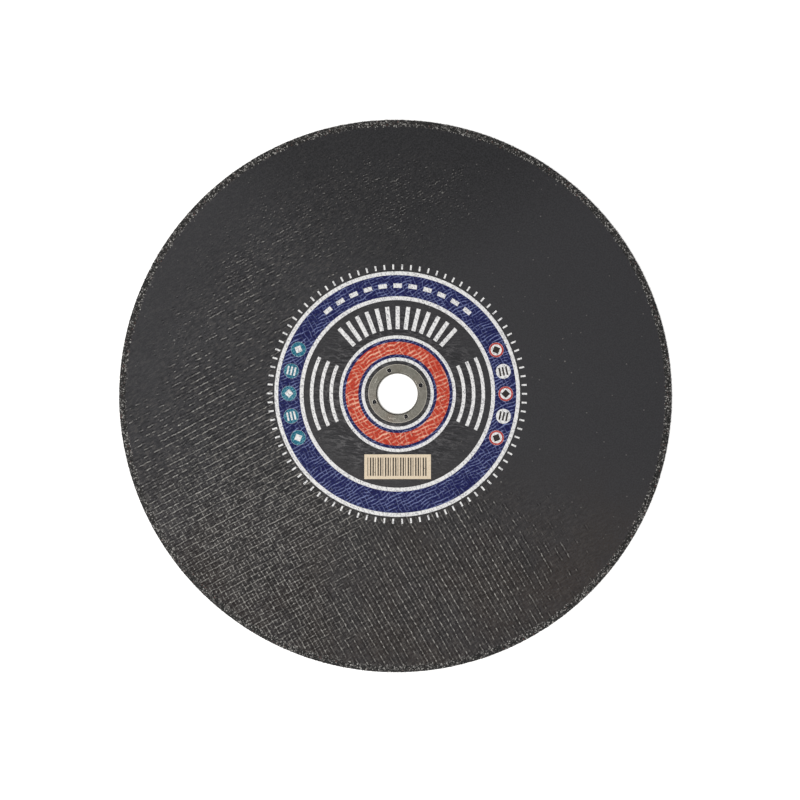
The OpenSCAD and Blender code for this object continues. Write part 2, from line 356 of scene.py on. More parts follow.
def resinFields(tree):
    # places, what the faces store, and random fields that colour, gloss and relief share
    look = blackResin
    place = millimetres(tree)
    fields = {name: newNode(tree, "ShaderNodeAttribute", attribute_name=name).outputs["Fac"]
              for name in ("warpPlace", "weftPlace", "warpBare", "weftBare")}
    spot = newNode(tree, "ShaderNodeSeparateXYZ", {0: place}).outputs
    aside = calc(tree, "MULTIPLY", calc(tree, "ABSOLUTE", spot["X"]), look["upperSlope"])
    weftShown = calc(tree, "MULTIPLY", fields["weftBare"], look["weftShare"])
    alongWarp = turnFlat(tree, place, glassMesh["warpAngle"] + look["lumpSlant"])[0]
    drawn = stretched(tree, alongWarp, look["lumpDraw"])
    fields.update({
        "place": place,
        "height": spot["Y"],
        "reach": flatReach(tree, place),
        "upper": remap(tree, calc(tree, "SUBTRACT", spot["Y"], aside), *look["upperFade"]),
        "shown": calc(tree, "MAXIMUM", fields["warpBare"], weftShown),
        "patches": blotchesAt(tree, place, size=46.0, fine=4.0, contrast=2.2),
        "clumps": blotchesAt(tree, place, size=11.0, fine=2.0, contrast=2.4),
        "lumps": blotchesAt(tree, drawn, size=1.25, fine=2.0, contrast=2.6),
        "grain": blotchesAt(tree, place, size=0.9, fine=2.0, contrast=1.6),
        "dust": flecksAt(tree, place, spacing=5.0, share=0.40, reach=0.12),
        "chips": flecksAt(tree, place, spacing=13.0, share=0.22, reach=0.07),
    })
    return fields


def strayDashes(tree, fields):
    # clumps of short dashes with a painted highlight over the upper part, which is painted darker, and the
    # upper left, fewer near the rim
    look = blackResin
    values = {0: fields["place"], 1: look["strayHeading"]}
    towards = newNode(tree, "ShaderNodeVectorMath", values, operation="DOT_PRODUCT").outputs["Value"]
    share = calc(tree, "MAXIMUM", fields["upper"], remap(tree, towards, *look["strayFade"], 0.0, 0.95))
    share = calc(
        tree, "MULTIPLY", share, remap(tree, fields["clumps"], 0.35, 0.65, 0.36, 0.49),
        remap(tree, fields["reach"], *look["strayRimFade"], 0.40, 1.0))
    return dashesAt(tree, fields["warpPlace"], fields["weftPlace"], {
        "Bare": share, "Pitch": glassMesh["warpPitch"] / 2, "Width": 0.46, "Length": 1.1, "Side": 0.80,
        "Sway": 2.8})


def shownThreads(tree, fields):
    # crests that show through the resin with a painted highlight, and painted shade in the hollows beside
    # them
    lumps = fields["lumps"]
    warp = dashesAt(tree, fields["warpPlace"], fields["weftPlace"], {
        "Bare": fields["warpBare"], "Pitch": glassMesh["warpPitch"], "Width": 0.46, "Length": 4.2,
        "Side": 0.90, "Sway": 1.1})
    weft = dashesAt(tree, fields["weftPlace"], fields["warpPlace"], {
        "Bare": fields["weftBare"], "Pitch": glassMesh["weftPitch"], "Width": 0.44, "Length": 7.5,
        "Side": 0.90, "Sway": 1.0})
    thin = dashesAt(tree, fields["weftPlace"], fields["warpPlace"], {
        "Bare": fields["weftBare"], "Pitch": glassMesh["weftPitch"], "Shift": glassMesh["weftPitch"] / 2,
        "Width": 0.46, "Length": 4.0, "Side": 0.80})
    stray = strayDashes(tree, fields)

    # the painted highlight is brightest where the threads cross, and the weft shows as painted highlight
    # dots between bare warp threads
    crossing = calc(tree, "MAXIMUM", weft["Line"], thin["Line"])
    between = remap(tree, fields["weftBare"], 0.0, 1.0, 0.60, 0.22)
    warpCrest = calc(tree, "MULTIPLY", warp["Crest"], remap(tree, crossing, 0.0, 1.0, between, 1.0))
    weftCrest = calc(tree, "MAXIMUM", weft["Crest"], calc(tree, "MULTIPLY", thin["Crest"], 0.25))
    weftCrest = calc(tree, "MULTIPLY", weftCrest, remap(tree, warp["Near"], 0.0, 1.0, 0.32, 0.92))
    dots = calc(
        tree, "MULTIPLY", crossing, calc(tree, "SUBTRACT", 1.0, warp["Near"]),
        remap(tree, fields["warpBare"], 0.3, 1.0, 0.0, 0.6),
        remap(tree, fields["height"], *blackResin["dotFade"], 0.1, 1.0),
        remap(tree, lumps, 0.3, 0.7, 0.1, 1.0))
    strayCrest = calc(tree, "MULTIPLY", stray["Crest"], 0.62)
    crest = calc(tree, "MAXIMUM", warpCrest, weftCrest, dots, strayCrest)
    crest = calc(tree, "MULTIPLY", crest, remap(tree, lumps, 0.22, 0.68, 0.16, 1.0))
    crest = calc(tree, "MAXIMUM", crest, calc(tree, "MULTIPLY", fields["chips"], 0.3))

    # painted shade in the hollows beside the threads and in pits between the lumps
    warpShadedHollow = calc(tree, "MULTIPLY", warp["Hollow"], remap(tree, crossing, 0.0, 1.0, 1.0, 0.35))
    thinShadedHollow = calc(tree, "MULTIPLY", thin["Hollow"], 0.5)
    hollow = calc(tree, "MAXIMUM", warpShadedHollow, weft["Hollow"], thinShadedHollow, stray["Hollow"])
    hollow = calc(tree, "MULTIPLY", hollow, remap(tree, lumps, 0.7, 0.2, 0.55, 1.0))
    pitShade = calc(tree, "MULTIPLY", remap(tree, lumps, 0.38, 0.10, 0.0, 0.6), fields["shown"])
    return crest, calc(tree, "MAXIMUM", hollow, pitShade)


def hubCreases(tree, fields):
    # wavy creases in the bare ground of the hub, and painted shade in the gaps between them
    hub = remap(tree, fields["reach"], *blackResin["hubFade"])
    waves = crinklesAt(tree, fields["place"], turn=-0.12, length=10.0, width=2.0, bend=3.0, edge=0.10)
    creaseShade = crinklesAt(tree, fields["place"], turn=-0.05, length=10.0, width=2.6, bend=3.0, edge=0.12)
    return calc(tree, "MULTIPLY", waves, hub), calc(tree, "MULTIPLY", creaseShade, hub, 0.7)


def resinMaterial():
    look = blackResin
    material, tree, shader = newMaterial("blackResin")
    fields = resinFields(tree)
    crest, hollow = shownThreads(tree, fields)
    waves, creaseShade = hubCreases(tree, fields)

    # browner towards the bottom, painted shade that darkens the top, lumps and darker patches where the
    # mesh shows
    browned = calc(
        tree, "MULTIPLY", remap(tree, fields["height"], *look["brownFade"], 0.05, 1.0),
        remap(tree, fields["patches"], 0.2, 0.8, 0.5, 1.0))
    dull = calc(tree, "MULTIPLY", remap(tree, fields["clumps"], 0.55, 0.15, 0.0, 0.35), fields["shown"])
    pale = calc(tree, "MULTIPLY", remap(tree, fields["lumps"], 0.52, 0.92, 0.0, 0.65), fields["shown"])
    # a painted highlight along the hub's creases
    creaseHighlight = calc(tree, "MULTIPLY", waves, remap(tree, fields["grain"], 0.2, 0.7, 0.15, 0.70))
    # the layers paint shade in the hollows, in pits, at the top and between the hub's creases, and paint
    # highlights on the thread crests and along the creases
    colour = layered(
        tree, look["dark"], (browned, look["brown"]),
        (calc(tree, "MULTIPLY", fields["upper"], 0.9), look["deep"]),
        (remap(tree, fields["grain"], 0.2, 0.8, 0.0, 0.5), look["light"]),
        (calc(tree, "MULTIPLY", fields["dust"], 0.6), look["speck"]),
        (dull, look["deep"]), (pale, look["lump"]),
        (calc(tree, "MULTIPLY", hollow, 0.85), look["hollow"]), (crest, look["crest"]),
        (creaseShade, look["deep"]), (creaseHighlight, look["fold"]))
    feed(tree, shader["Base Color"], colour)

    # creases are smoother than the gritty face, hollows rougher, and bare crests have a gloss
    rough = remap(tree, fields["patches"], 0.0, 1.0, *look["rough"])
    rough = calc(tree, "SUBTRACT", rough, calc(tree, "MULTIPLY", waves, look["creaseRough"]))
    rough = calc(tree, "ADD", rough, calc(tree, "MULTIPLY", hollow, look["hollowRough"]))
    feed(tree, shader["Roughness"], rough)
    feed(tree, shader["Coat Weight"], calc(tree, "MULTIPLY", crest, look["gloss"]))
    shader["Coat Roughness"].default_value = look["glossRough"]
    shader["Specular IOR Level"].default_value = look["specular"]
    relief = calc(
        tree, "ADD", calc(tree, "MULTIPLY", fields["grain"], look["grainBump"]),
        calc(tree, "MULTIPLY", fields["lumps"], fields["shown"], look["lumpBump"]),
        calc(tree, "MULTIPLY", fields["dust"], look["speckBump"]),
        calc(tree, "MULTIPLY", waves, look["creaseBump"]))
    addBump(tree, shader, relief, strength=0.8)
    return material


resin = resinMaterial()

# woven faces of the wheel: lobes (heading, middle, lean) where each set of threads shows through the resin
# and gets a painted highlight on its crests, and pools (heading, start, end, depth) where resin lies over
# them
wovenFace = {
    "gritWidth": 4.0, "seatDepth": 0.25, "seatClearance": 0.05, "boreClearance": 0.55, "bendRoom": 0.6,
    "edgeError": 0.07, "edgeShift": 0.35, "edgeHeading": math.radians(245.0), "edgeFade": 5.0,
    "edgeWaves": (20, 420), "edgeWaveCount": 26,
    "warpLobes": ((218, -0.62, 2.14), (160, 0.06, 0.60)),
    "weftLobes": ((281, -1.44, 2.95), (252, -2.20, 3.55)), "weftCover": 0.25,
    "lobeReach": 30.0, "lobeError": 0.15, "lobeErrorSize": 48.0,
    "pools": ((135, 118.0, 163.0, 0.75), (330, 130.0, 165.0, 0.42)), "poolAllRound": 0.15, "poolSide": 0.9,
    "hubQuiet": 0.15, "hubFade": 22.0, "weld": 0.02, "creaseAngle": math.radians(2.5),
    "frontSeed": 11, "backSeed": 51,
}
skinRadius = wheelRadius - wovenFace["gritWidth"]


def softNoise(points, size, seed, waves=24):
    # smooth random field from a sum of plane waves, about -1 to 1
    rng = np.random.default_rng(seed)
    total = np.zeros(len(points))
    for _ in range(waves):
        heading = rng.uniform(0, fullTurn)
        length = size * rng.uniform(0.7, 1.6)
        direction = np.array([math.cos(heading), math.sin(heading)]) * fullTurn / length
        total += np.cos(points @ direction + rng.uniform(0, fullTurn))
    return total / math.sqrt(waves / 2) / 2


def resinEdge(angle):
    # the skin lies a little off centre and its edge, where the bare grit begins, is uneven
    rng = np.random.default_rng(wovenFace["frontSeed"] + 9)
    edge = wovenFace["edgeShift"] * np.cos(angle - wovenFace["edgeHeading"])
    for wave in rng.integers(*wovenFace["edgeWaves"], wovenFace["edgeWaveCount"]):
        edge = edge + wovenFace["edgeError"] * np.cos(wave * angle + rng.uniform(0, fullTurn))
    return edge


def threadAxis(angle):
    # unit vector across threads that run at an angle
    return np.array([-math.sin(angle), math.cos(angle)])


def threadLayout(pitch, places, rng):
    # sample lines across the threads: their places with a small error, true places, threads and parts
    count = int(skinRadius / pitch) + 2
    thread = np.repeat(np.arange(2 * count + 1), len(places))
    ideal = (thread - count) * pitch + np.tile(places, 2 * count + 1)
    error = rng.normal(0, glassMesh["spacingError"], 2 * count + 1)
    return ideal + error[thread], ideal, thread, np.tile(np.arange(len(places)), 2 * count + 1)


def threadRise(threads, samples, run, rng):
    # how far each thread stands out along its length, from about 0 to 1
    kernel = np.hanning(run)
    kernel /= np.sqrt((kernel ** 2).sum())
    noise = rng.normal(0, 1, (threads, samples + run))
    smooth = np.array([np.convolve(row, kernel, "valid")[:samples] for row in noise])
    rise = glassMesh["riseMiddle"] + glassMesh["riseSpread"] * smooth
    return np.clip(rise, glassMesh["riseLeast"], 1.0)


def bareAndLitField(points, lobes):
    # share of a set of threads that shows through the resin, more towards some sides of the wheel, which
    # also places the painted highlight on their crests
    bare = np.zeros(len(points))
    reach = np.linalg.norm(points, axis=1) + wovenFace["lobeReach"]
    for heading, middle, lean in lobes:
        towards = points @ np.array([math.cos(math.radians(heading)), math.sin(math.radians(heading))])
        bare = np.maximum(bare, middle + lean * towards / reach)
    error = softNoise(points, wovenFace["lobeErrorSize"], wovenFace["frontSeed"])
    return np.clip(bare * (1 + wovenFace["lobeError"] * error), 0, 1)


def pooledResin(points):
    # resin lies thicker over the threads near the rim on some sides
    radius = np.linalg.norm(points, axis=1)
    angle = np.arctan2(points[:, 1], points[:, 0])
    shown = np.ones(len(points))
    for heading, start, end, depth in wovenFace["pools"]:
        facing = np.cos(angle - math.radians(heading))
        side = np.clip(wovenFace["poolAllRound"] + wovenFace["poolSide"] * facing, 0, 1)
        ramp = np.clip((radius - start) / (end - start), 0, 1)
        shown = shown * (1 - depth * side * ramp * ramp * (3 - 2 * ramp))
    return shown


def weaveGrid(rng):
    # points on every sample line of both sets, with their rise and what the material reads
    face = wovenFace
    weave = glassMesh
    foot = weave["halfWidth"]
    thin = weave["thinHalfWidth"]
    half = weave["weftPitch"] / 2
    u, uIdeal, warpThread, warpPart = threadLayout(weave["warpPitch"], (-foot, 0.0, foot), rng)
    v, vIdeal, weftThread, weftPart = threadLayout(
        weave["weftPitch"], (-foot, 0.0, foot, half - thin, half, half + thin), rng)
    onWarp = (warpPart == 1)[:, None]    # sample lines along the crests
    onWeft = weftPart == 1
    onThin = weftPart == 4
    axes = np.array([threadAxis(weave["warpAngle"]), threadAxis(weave["weftAngle"])])
    across, along = np.meshgrid(u, v, indexing="ij")
    points = np.stack([across.ravel(), along.ravel()], axis=1) @ np.linalg.inv(axes).T
    outside = np.linalg.norm(points, axis=1) - labelRadius
    quiet = face["hubQuiet"] + (1 - face["hubQuiet"]) * np.clip(outside / face["hubFade"] + 1, 0, 1)
    pooled = pooledResin(points) * quiet
    weftBare = bareAndLitField(points, face["weftLobes"]) * pooled
    warpBare = bareAndLitField(points, face["warpLobes"]) * pooled
    warpBare = warpBare * (1 - face["weftCover"] * weftBare)    # one set lies under where the other is bare

    # threads rise in dashes, and each dips a little where it passes the other
    warpRise = threadRise(warpThread.max() + 1, len(v), weave["warpRun"], rng)[warpThread]
    weftRise = threadRise(weftThread.max() + 1, len(u), weave["weftRun"], rng)[weftThread].T
    covered = weave["coveredRise"]
    warpRise = warpRise * (covered + (1 - covered) * warpBare.reshape(across.shape))
    warpRise = warpRise * np.where(onWeft, weave["warpDip"], 1.0)
    weftRise = weftRise * (covered + (1 - covered) * weftBare.reshape(across.shape))
    weftRise = weftRise * np.where(onWarp, weave["weftDip"], 1.0)
    rise = np.where(onWarp, weave["warpHeight"], 0.0) * warpRise
    rise = np.maximum(rise, np.where(onWeft, weave["weftHeight"], 0.0) * weftRise)
    rise = np.maximum(rise, np.where(onThin, weave["thinHeight"], 0.0) * weftRise)
    marks = {
        "warpPlace": np.repeat(uIdeal, len(v)), "weftPlace": np.tile(vIdeal, len(u)),
        "warpBare": warpBare, "weftBare": weftBare,
    }
    return points, rise.ravel() * quiet, marks, across.shape


def gridQuads(rows, columns, keep):
    # four corners of every cell that has a kept point
    corner = (np.arange(rows - 1)[:, None] * columns + np.arange(columns - 1)).ravel()
    quads = np.stack([corner, corner + columns, corner + columns + 1, corner + 1], axis=1)
    return quads[keep[quads].any(axis=1)]


def walkLoop(edges):
    # vertices of one closed boundary loop, in order
    members = set(edges)
    edge = edges[0]
    loop = list(edge.verts)
    while True:
        edge = next(e for e in loop[-1].link_edges if e in members and e is not edge)
        vertex = edge.other_vert(loop[-1])
        if vertex is loop[0]:
            return loop
        loop.append(vertex)


def boundaryLoops(mesh):
    # closed loops of open edges, from the innermost outwards
    left = {e for e in mesh.edges if e.is_boundary}
    loops = []
    while left:
        group = [next(iter(left))]
        reached = set(group)
        for edge in group:
            for other in (e for vertex in edge.verts for e in vertex.link_edges):
                if other in left and other not in reached:
                    reached.add(other)
                    group.append(other)
        loops.append(walkLoop(group))
        left -= reached
    return sorted(loops, key=lambda loop: loop[0].co.xy.length)


def wallDown(mesh, loop, steps):
    # copies a loop along (radius, height) steps and joins each to the last, and None keeps the radius
    for radius, height in steps:
        ring = []
        for vertex in loop:
            scale = 1.0 if radius is None else radius * mm / vertex.co.xy.length
            ring.append(mesh.verts.new((vertex.co.x * scale, vertex.co.y * scale, height * mm), vertex))
        for i, vertex in enumerate(loop):
            after = (i + 1) % len(loop)
            mesh.faces.new((vertex, loop[after], ring[after], ring[i]))
        loop = ring
    return loop


def capBetween(mesh, inner, outer):
    # flat ring of triangles between two loops of different counts, walked by angle
    def byAngle(loop):
        return sorted(((math.atan2(v.co.y, v.co.x), v) for v in loop), key=lambda pair: pair[0])
    inside = byAngle(inner)
    outside = byAngle(outer)
    i = j = 0
    while i < len(inside) or j < len(outside):
        a = inside[i % len(inside)][1]
        b = outside[j % len(outside)][1]
        nextInner = inside[i][0] if i < len(inside) else math.inf
        nextOuter = outside[j][0] if j < len(outside) else math.inf
        if nextInner <= nextOuter:
            i += 1
            mesh.faces.new((a, inside[i % len(inside)][1], b))
        else:
            j += 1
            mesh.faces.new((a, outside[j % len(outside)][1], b))


def wovenSlab(name, innerRadius, innerSteps, front):
    # half of the disc's thickness, with the weave on its outer face
    weave = glassMesh
    seed = wovenFace["frontSeed" if front else "backSeed"]
    fade = wovenFace["edgeFade"]
    points, rise, marks, shape = weaveGrid(np.random.default_rng(seed))
    sway = [weave["wobble"] * softNoise(points, weave["wobbleSize"], seed + 3 + axis) for axis in (0, 1)]
    points = points + np.stack(sway, axis=1)
    radius = np.linalg.norm(points, axis=1)
    angle = np.arctan2(points[:, 1], points[:, 0])
    held = np.clip(radius, innerRadius, skinRadius)
    held = held + resinEdge(angle) * np.clip((held - skinRadius + fade) / fade, 0, 1)
    placed = np.stack([held * np.cos(angle), held * np.sin(angle)], axis=1)
    marks["warpPlace"] = marks["warpPlace"] + (placed - points) @ threadAxis(weave["warpAngle"])
    marks["weftPlace"] = marks["weftPlace"] + (placed - points) @ threadAxis(weave["weftAngle"])
    level = faceTop - weave["warpHeight"] + rise if front else weave["warpHeight"] - rise
    quads = gridQuads(*shape, (radius < skinRadius) & (radius > innerRadius))
    used, quads = np.unique(quads, return_inverse=True)
    piece = meshPiece(name, np.column_stack([placed, level])[used], quads.reshape(-1, 4).tolist(), resin)
    for key, values in marks.items():
        layer = piece.data.attributes.new(key, "FLOAT", "POINT")
        layer.data.foreach_set("value", values[used].astype(np.float32))

    # close the sides and the middle plane
    mesh = bmesh.new()
    mesh.from_mesh(piece.data)
    bmesh.ops.remove_doubles(mesh, verts=mesh.verts, dist=wovenFace["weld"] * mm)
    inner, rim = boundaryLoops(mesh)
    inner = wallDown(mesh, inner, innerSteps)
    rim = wallDown(mesh, rim, [(None, midPlane)])
    capBetween(mesh, inner, rim)
    bmesh.ops.recalc_face_normals(mesh, faces=mesh.faces)
    bmesh.ops.triangulate(mesh, faces=mesh.faces)
    mesh.to_mesh(piece.data)
    mesh.free()
    piece.data.shade_smooth()
    piece.data.set_sharp_from_angle(angle=wovenFace["creaseAngle"])    # creases along the threads
    settle(piece, "abrasive", "abrasive_disc")


boreRadius = arborRadius + wovenFace["boreClearance"]
seatLevel = faceTop - wovenFace["seatDepth"]
bendRoom = wovenFace["bendRoom"]
seatSteps = [
    (None, seatLevel), (boreRadius + bendRoom, seatLevel), (boreRadius, seatLevel - bendRoom),
    (None, midPlane)]
wovenSlab("wovenFace.front", flangeRadius + wovenFace["seatClearance"], seatSteps, front=True)
wovenSlab("wovenFace.back", boreRadius, [(None, midPlane)], front=False)

# rim of bare grit: a rough base ring and sharp grains sunk part way into it
gritRim = {
    "overlap": 1.4, "drop": 0.30, "innerDrop": 0.1, "steps": 2000, "roughness": 0.10, "shake": (-0.2, 0.05),
    "flatFrom": 0.7, "flatTo": 0.9, "flatPoints": 5,
    "corner": ((0.45, 0.03), (0.12, 0.3), (0.05, 0.8)),    # inwards from the rim, down from the flat
    "frontGrains": 8000, "sideGrains": 2000, "backGrains": 4000, "grainSize": (0.30, 0.72),
    "grainSquash": (0.6, 1.15), "grainJitter": (0.8, 1.15), "grainSink": 0.06, "grainInset": 0.6,
    "sideInset": 0.22, "sideMargin": 0.25, "proud": 0.05, "floorGap": 0.05, "seed": 5,
}
rimInner = skinRadius - gritRim["overlap"]
rimTop = faceTop - gritRim["drop"]


def gritMaterial():
    look = {
        "black": tone(16, 16, 16), "brown": tone(54, 50, 48), "red": tone(88, 62, 58),
        "grey": tone(100, 98, 97), "pale": tone(160, 158, 155), "rough": (0.5, 0.8), "bump": 0.08,
    }
    stops = ((0.0, "black"), (0.26, "brown"), (0.47, "red"), (0.50, "grey"), (0.80, "pale"))
    material, tree, shader = newMaterial("bareGrit")
    place = millimetres(tree)
    ramp = newNode(tree, "ShaderNodeValToRGB", {
        "Fac": newNode(tree, "ShaderNodeNewGeometry").outputs["Random Per Island"]})
    ramp.color_ramp.interpolation = "CONSTANT"
    while len(ramp.color_ramp.elements) < len(stops):
        ramp.color_ramp.elements.new(0.5)
    for element, (position, key) in zip(ramp.color_ramp.elements, stops):
        element.position = position
        element.color = look[key]
    fine = blotchesAt(tree, place, size=0.5, fine=2.0, contrast=2.0)
    colour = mixColours(tree, remap(tree, fine, 0.2, 0.9, 0.0, 0.35), ramp.outputs["Color"], look["black"])
    feed(tree, shader["Base Color"], colour)
    feed(tree, shader["Roughness"], remap(tree, fine, 0.0, 1.0, *look["rough"]))
    addBump(tree, shader, calc(tree, "MULTIPLY", fine, look["bump"]), strength=0.7)
    return material


def bondMaterial():
    look = {"bond": tone(14, 14, 14), "grain": tone(46, 44, 43), "rough": (0.5, 0.85), "bump": 0.15}
    material, tree, shader = newMaterial("gritBond")
    place = millimetres(tree)
    fine = blotchesAt(tree, place, size=0.7, fine=3.0, contrast=2.4)
    grains = calc(tree, "MULTIPLY", flecksAt(tree, place, spacing=0.9, share=0.4, reach=0.4), fine)
    feed(tree, shader["Base Color"], mixColours(tree, grains, look["bond"], look["grain"]))
    feed(tree, shader["Roughness"], remap(tree, fine, 0.0, 1.0, *look["rough"]))
    addBump(tree, shader, calc(tree, "MULTIPLY", fine, look["bump"]), strength=0.8)
    return material


def rimBase(material):
    rim = gritRim
    steps = rim["steps"]
    flat = np.linspace(rimInner + rim["flatFrom"], wheelRadius - rim["flatTo"], rim["flatPoints"])
    half = [(rimInner, rimTop - rim["innerDrop"])] + [(radius, rimTop) for radius in flat]
    half += [(wheelRadius - inset, rimTop - down) for inset, down in rim["corner"]]
    section = np.array(half + [(r, faceTop - z) for r, z in reversed(half)])
    rng = np.random.default_rng(rim["seed"])
    angles = np.linspace(0, fullTurn, steps, endpoint=False)[:, None]
    shake = rng.normal(0, rim["roughness"], (steps, len(section), 2))
    shake[:, [0, -1]] = 0
    spots = section + np.clip(shake, *rim["shake"])
    radius, height = spots[..., 0], spots[..., 1]
    points = np.stack([radius * np.cos(angles), radius * np.sin(angles), height], axis=2)
    count = len(section)
    ring = np.arange(steps)[:, None] * count
    after = np.roll(ring, -1, axis=0)
    j = np.arange(count)
    k = (j + 1) % count
    faces = np.stack([ring + j, ring + k, after + k, after + j], axis=2).reshape(-1, 4)
    return meshPiece("gritRim.base", points.reshape(-1, 3), faces.tolist(), material, smooth=False)


def grainShape():
    # corners and sides of an icosahedron of unit radius
    golden = (1 + math.sqrt(5)) / 2
    corners = np.array([(0, s, t * golden) for s in (-1, 1) for t in (-1, 1)])
    corners = np.concatenate([np.roll(corners, turn, axis=1) for turn in range(3)])
    hull = bmesh.new()
    for corner in corners / np.linalg.norm(corners[0]):
        hull.verts.new(corner)
    hull.verts.index_update()
    bmesh.ops.convex_hull(hull, input=hull.verts)
    shape = np.array([v.co for v in hull.verts])
    sides = np.array([[v.index for v in f.verts] for f in hull.faces])
    hull.free()
    return shape, sides


def grainPlaces(zone, count, rng):
    rim = gritRim
    angle = rng.uniform(0, fullTurn, count)
    if zone == "side":
        radius = np.full(count, wheelRadius - rim["sideInset"])
        height = rng.uniform(rim["drop"] + rim["sideMargin"], rimTop - rim["sideMargin"], count)
    else:
        radius = rng.uniform(rimInner + rim["flatFrom"], wheelRadius - rim["grainInset"], count)
        level = rimTop - rim["grainSink"] if zone == "front" else rim["drop"] + rim["grainSink"]
        height = np.full(count, level)
    return np.stack([radius * np.cos(angle), radius * np.sin(angle), height], axis=1)


def rimGrains(name, zones, seed, material):
    rim = gritRim
    rng = np.random.default_rng(seed)
    places = np.concatenate([grainPlaces(zone, rim[zone + "Grains"], rng) for zone in zones])
    shape, sides = grainShape()
    count = len(places)
    sizes = rng.uniform(*rim["grainSize"], (count, 1, 1))
    squash = rng.uniform(*rim["grainSquash"], (count, 1, 3))
    jitter = rng.uniform(*rim["grainJitter"], (count, len(shape), 1))
    turns = np.linalg.qr(rng.normal(size=(count, 3, 3)))[0]
    local = np.einsum("nij,nkj->nki", turns, shape * jitter * squash * sizes)
    points = (local + places[:, None]).reshape(-1, 3)
    radius = np.linalg.norm(points[:, :2], axis=1)
    points[:, :2] *= np.minimum(1, (wheelRadius + rim["proud"]) / radius)[:, None]
    points[:, 2] = np.clip(points[:, 2], rim["floorGap"], faceTop)
    faces = (sides + (np.arange(count) * len(shape))[:, None, None]).reshape(-1, 3)
    return meshPiece(name, points, faces.tolist(), material, smooth=False)


grit = gritMaterial()
settle(rimBase(bondMaterial()), "abrasive", "abrasive_disc")
frontGrains = rimGrains("gritRim.grains.front", ("front",), gritRim["seed"] + 1, grit)
backGrains = rimGrains("gritRim.grains.back", ("side", "back"), gritRim["seed"] + 2, grit)
settle(frontGrains, "abrasive", "abrasive_disc")
settle(backGrains, "abrasive", "abrasive_disc")

# printed inks: pitch and width of the bright strokes, and shares of strokes, dots, painted shade in the
# hollows and bare spots
inks = {
    "white": {"ink": tone(236, 236, 236), "worn": tone(150, 150, 156), "light": tone(248, 248, 248),
              "stroke": (1.9, 0.8), "strokes": 0.20, "dots": 0.20, "hollows": 0.55, "bare": 0.17},
    "blue": {"ink": tone(17, 21, 78), "worn": tone(7, 8, 46), "light": tone(156, 170, 220),
             "stroke": (2.0, 1.0), "strokes": 0.62, "dots": 0.05, "hollows": 0.40, "bare": 0.03},
    "orange": {"ink": tone(188, 58, 38), "worn": tone(142, 38, 28), "light": tone(250, 200, 172),
               "stroke": (2.4, 1.6), "strokes": 0.90, "dots": 0.05, "hollows": 0.50, "bare": 0.03},
    "teal": {"ink": tone(24, 108, 130), "worn": tone(20, 60, 92), "light": tone(170, 218, 226),
             "stroke": (1.6, 0.7), "strokes": 0.45, "dots": 0.40, "hollows": 0.35, "bare": 0.06},
    "red": {"ink": tone(180, 58, 54), "worn": tone(128, 44, 46), "light": tone(232, 156, 146),
            "stroke": (1.6, 0.7), "strokes": 0.30, "dots": 0.40, "hollows": 0.30, "bare": 0.08},
    "cream": {"ink": tone(224, 208, 184), "worn": tone(206, 188, 162), "light": tone(234, 221, 200),
              "stroke": (2.0, 1.0), "strokes": 0.20, "dots": 0.20, "hollows": 0.10, "bare": 0.02},
    "black": {"ink": tone(46, 41, 40), "worn": tone(36, 33, 33), "light": tone(104, 95, 88),
              "stroke": (1.9, 0.8), "strokes": 0.22, "dots": 0.20, "hollows": 0.0, "bare": 0.0},
}

# what all inks share: the weft's strokes as shares of the warp's, ground that shows in bare spots, relief
inkCoat = {
    "weftPitch": 1.22, "weftWidth": 0.8, "weftShare": 0.6, "ground": tone(64, 64, 68), "groundShare": 0.75,
    "rough": (0.58, 0.80), "specular": 0.16, "strokeBump": 0.05, "fineBump": 0.02, "hollowBump": 0.04,
}


def inkMaterial(name, look):
    # ink over the weave: brighter in strokes along the threads, with painted shade of the weave in the
    # hollows
    coat = inkCoat
    material, tree, shader = newMaterial(name + "Ink")
    place = millimetres(tree)
    pitch, width = look["stroke"]
    warpTurn = glassMesh["warpAngle"]
    weftTurn = glassMesh["weftAngle"]
    fine = blotchesAt(tree, place, size=1.1, fine=3.0, contrast=2.2)
    along = linesAt(tree, place, warpTurn, pitch, width, breaks=1.0, wander=6.0)
    across = linesAt(
        tree, place, weftTurn, pitch * coat["weftPitch"], width * coat["weftWidth"], breaks=1.0, wander=7.0)
    strokes = calc(tree, "MAXIMUM", along, calc(tree, "MULTIPLY", across, coat["weftShare"]))
    strokes = calc(tree, "MULTIPLY", strokes, remap(tree, fine, 0.15, 0.6, 0.35, 1.0))
    hollows = linesAt(tree, place, weftTurn, glassMesh["weftPitch"] / 2, width=1.0, breaks=0.8, wander=1.6)
    dots = flecksAt(tree, place, spacing=0.8, share=0.30, reach=0.55)
    holes = flecksAt(tree, place, spacing=1.3, share=look["bare"], reach=0.42)
    # the worn colour also paints shade in the hollows of the weave
    colour = layered(
        tree, look["ink"], (remap(tree, fine, 0.55, 0.1, 0.0, 0.8), look["worn"]),
        (calc(tree, "MULTIPLY", hollows, look["hollows"]), look["worn"]),
        (calc(tree, "MULTIPLY", strokes, look["strokes"]), look["light"]),
        (calc(tree, "MULTIPLY", dots, look["dots"]), look["light"]),
        (calc(tree, "MULTIPLY", holes, coat["groundShare"]), coat["ground"]))
    feed(tree, shader["Base Color"], colour)
    feed(tree, shader["Roughness"], remap(tree, fine, 0.0, 1.0, *coat["rough"]))
    shader["Specular IOR Level"].default_value = coat["specular"]
    relief = calc(
        tree, "ADD", calc(tree, "MULTIPLY", strokes, coat["strokeBump"]),
        calc(tree, "MULTIPLY", fine, coat["fineBump"]))
    relief = calc(tree, "SUBTRACT", relief, calc(tree, "MULTIPLY", hollows, coat["hollowBump"]))
    addBump(tree, shader, relief, strength=0.8)
    return material


def dress(node, material):
    nodes[node].data.materials.clear()
    nodes[node].data.materials.append(material)


for name, look in inks.items():
    dress("print_" + name, inkMaterial(name, look))
print("inks printed:", len(inks))


